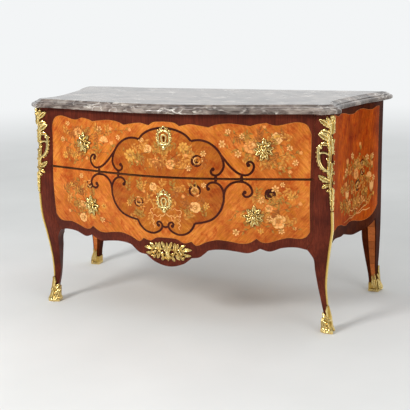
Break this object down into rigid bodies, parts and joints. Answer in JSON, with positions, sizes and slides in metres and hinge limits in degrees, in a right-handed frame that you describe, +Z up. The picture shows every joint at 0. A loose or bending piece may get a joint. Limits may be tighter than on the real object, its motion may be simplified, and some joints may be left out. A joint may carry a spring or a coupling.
{
  "type": "commode chest",
  "caption": "Bow-fronted bombe commode chest on cabriole legs, marble top, two drawers with scalloped apron, floral marquetry and gilt cast mounts.",
  "frame": {"origin": "on the floor, under the middle of the marble top box", "axes": "+X to the right seen from the front, +Y to the back, +Z up"},
  "size_m": [1.476, 0.777, 0.88],
  "materials": {
    "marble": "polished grey breccia marble",
    "kingwood": "dark kingwood veneer, french polished",
    "front_marquetry": "tulipwood veneer with floral marquetry, french polished",
    "side_marquetry": "rosewood and tulipwood veneer with floral marquetry, french polished",
    "oak": "plain oak, waxed",
    "gilt_bronze": "cast, chased and gilt",
    "lock_steel": "filed steel"
  },
  "bodies": {
    "carcass": {"marble_top": "marble", "front_left_post": "kingwood", "front_right_post": "kingwood", "back_left_post": "kingwood", "back_right_post": "kingwood", "left_side_panel": "side_marquetry", "right_side_panel": "side_marquetry", "top_front_rail": "oak", "drawer_rail": "oak", "bottom_rail": "oak", "back_panel": "oak", "back_bottom_rail": "oak", "top_back_rail": "oak", "top_bearer": "oak", "kicker_left": "oak", "kicker_right": "oak", "upper_runner_left": "oak", "upper_runner_right": "oak", "upper_guide_left": "oak", "upper_guide_right": "oak", "lower_runner_left": "oak", "lower_runner_right": "oak", "lower_guide_left": "oak", "lower_guide_right": "oak", "dust_board": "oak", "bottom_board": "oak", "corner_mount_left": "gilt_bronze", "corner_mount_right": "gilt_bronze", "corner_fillet_left": "gilt_bronze", "corner_fillet_right": "gilt_bronze", "front_left_sabot": "gilt_bronze", "front_right_sabot": "gilt_bronze", "back_left_sabot": "gilt_bronze", "back_right_sabot": "gilt_bronze"},
    "upper_drawer": {"upper_drawer_front": "front_marquetry", "upper_drawer_side_left": "oak", "upper_drawer_side_right": "oak", "upper_drawer_bottom": "oak", "upper_drawer_back": "oak", "upper_lock_case": "lock_steel", "upper_escutcheon": "gilt_bronze", "upper_pull_left": "gilt_bronze", "upper_pull_right": "gilt_bronze"},
    "lower_drawer": {"lower_drawer_front": "front_marquetry", "lower_drawer_side_left": "oak", "lower_drawer_side_right": "oak", "lower_drawer_bottom": "oak", "lower_drawer_back": "oak", "lower_lock_case": "lock_steel", "lower_escutcheon": "gilt_bronze", "lower_pull_left": "gilt_bronze", "lower_pull_right": "gilt_bronze", "apron_mount": "gilt_bronze"},
    "upper_bolt": {"upper_lock_bolt": "lock_steel"},
    "lower_bolt": {"lower_lock_bolt": "lock_steel"}
  },
  "joints": [
    {"name": "upper_drawer_slide", "type": "slide", "parent": "carcass", "child": "upper_drawer", "axis": [0, -1, 0], "range_m": [0, 0.4]},
    {"name": "lower_drawer_slide", "type": "slide", "parent": "carcass", "child": "lower_drawer", "axis": [0, -1, 0], "range_m": [0, 0.4]},
    {"name": "upper_bolt_slide", "type": "slide", "parent": "upper_drawer", "child": "upper_bolt", "axis": [0, 0, 1], "range_m": [0, 0.009]},
    {"name": "lower_bolt_slide", "type": "slide", "parent": "lower_drawer", "child": "lower_bolt", "axis": [0, 0, 1], "range_m": [0, 0.009]}
  ]
}
